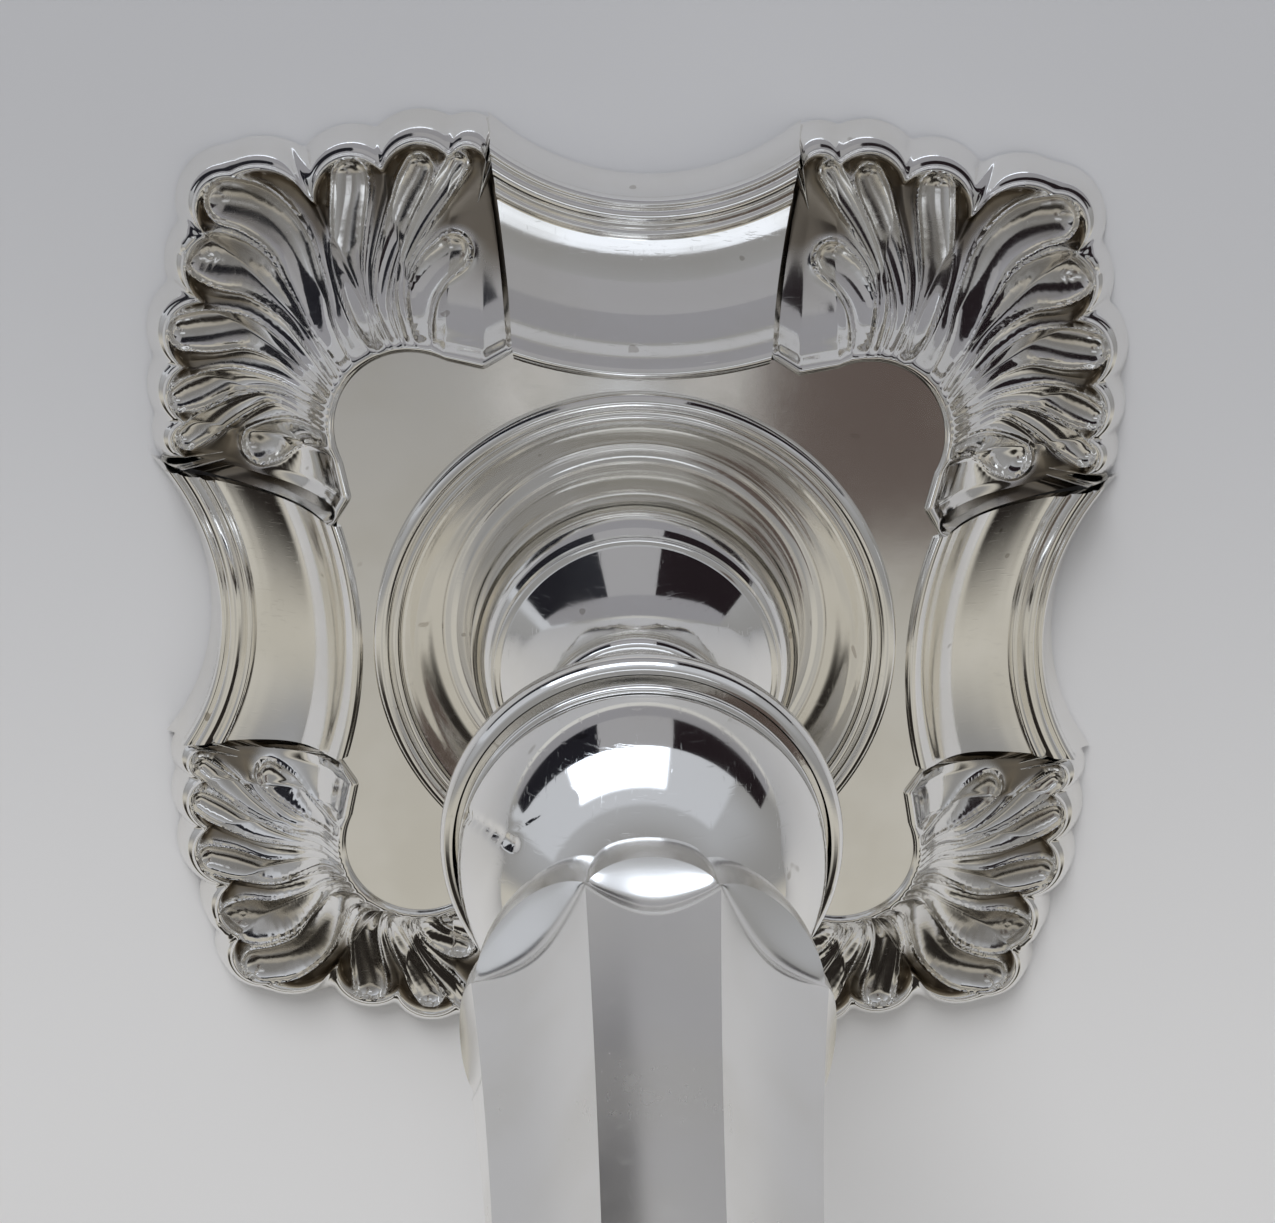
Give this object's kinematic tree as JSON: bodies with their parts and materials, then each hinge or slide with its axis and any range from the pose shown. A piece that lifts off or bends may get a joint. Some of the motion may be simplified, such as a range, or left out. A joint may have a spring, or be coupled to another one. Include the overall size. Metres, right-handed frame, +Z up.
{
  "type": "table candlestick",
  "caption": "Square-based silver table candlestick with shell corners, a ball knop, a fluted tapering column, a vase socket and a lift-out nozzle.",
  "frame": {"origin": "centre of the underside of the baize under the base, on the stem's axis", "axes": "+Z up the stem, +Y towards the back side of the base, +X towards the right side; the four sides are alike"},
  "size_m": [0.1354, 0.1354, 0.2812],
  "materials": {
    "silver": "polished silver with fine rubbing scratches",
    "silver_plain": "polished silver, slightly softened by cleaning",
    "silver_chased": "polished silver with tarnish left in the hollows",
    "silver_satin": "silver with a soft satin polish",
    "liner": "thin drawn sleeve, dull",
    "steel": "plain steel",
    "pitch": "hard black pitch",
    "board": "plain sawn board",
    "baize": "wool baize"
  },
  "bodies": {
    "stick": {"platform": "silver_plain", "side_front": "silver", "side_right": "silver", "side_back": "silver", "side_left": "silver", "shell_front_right": "silver_chased", "shell_back_right": "silver_chased", "shell_back_left": "silver_chased", "shell_front_left": "silver_chased", "well_dish": "silver", "neck_spool": "silver", "neck_bead": "silver", "knop_cup": "silver", "knop_ball": "silver", "fluted_column": "silver_satin", "column_cap": "silver", "upper_knop": "silver", "socket_vase": "silver", "socket_liner": "liner", "tie_rod": "steel", "rod_washer": "steel", "rod_nut": "steel", "pitch_filling": "pitch", "base_board": "board", "baize_pad": "baize"},
    "nozzle": {"nozzle_pan": "silver", "nozzle_tube": "silver"}
  },
  "joints": [
    {"name": "nozzle_lift", "type": "slide", "parent": "stick", "child": "nozzle", "axis": [0, 0, 1], "range_m": [0, 0.03]}
  ]
}
